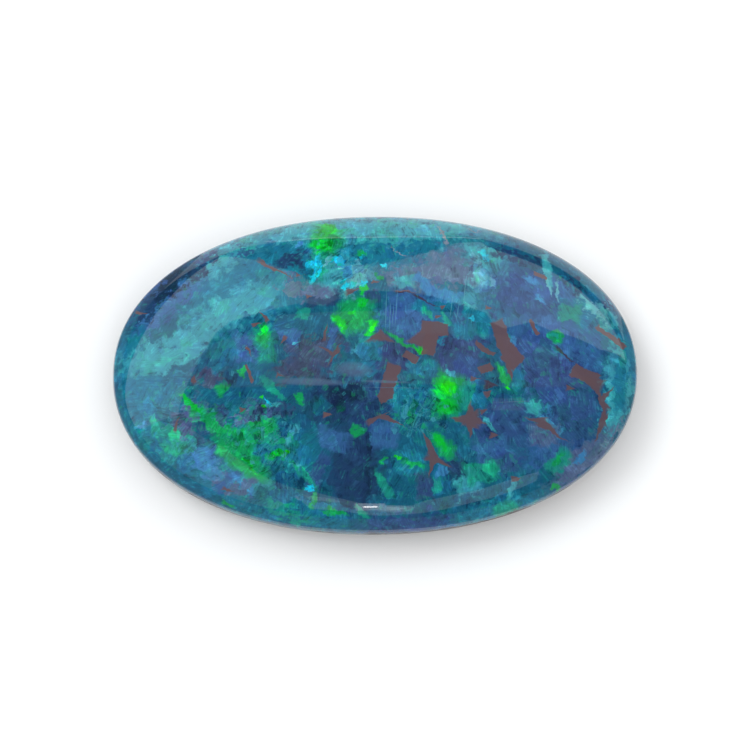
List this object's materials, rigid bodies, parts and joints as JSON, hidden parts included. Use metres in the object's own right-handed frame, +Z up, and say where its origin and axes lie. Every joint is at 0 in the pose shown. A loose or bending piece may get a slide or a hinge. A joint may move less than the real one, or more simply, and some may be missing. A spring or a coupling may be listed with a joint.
{
  "type": "black opal cabochon",
  "caption": "Oval black opal cabochon with a low polished dome, a rounded girdle and a flat back that it rests on or is set on.",
  "frame": {"origin": "centre of the flat back, under the crown of the dome, on the surface that the stone rests on", "axes": "+X along the long axis of the oval, +Y across it, +Z up through the crown"},
  "size_m": [0.0158, 0.0098, 0.003],
  "materials": {
    "opal": "polished, dark body with patches of blue, teal and green play of colour"
  },
  "bodies": {
    "root": {"opal": "opal"}
  },
  "joints": []
}
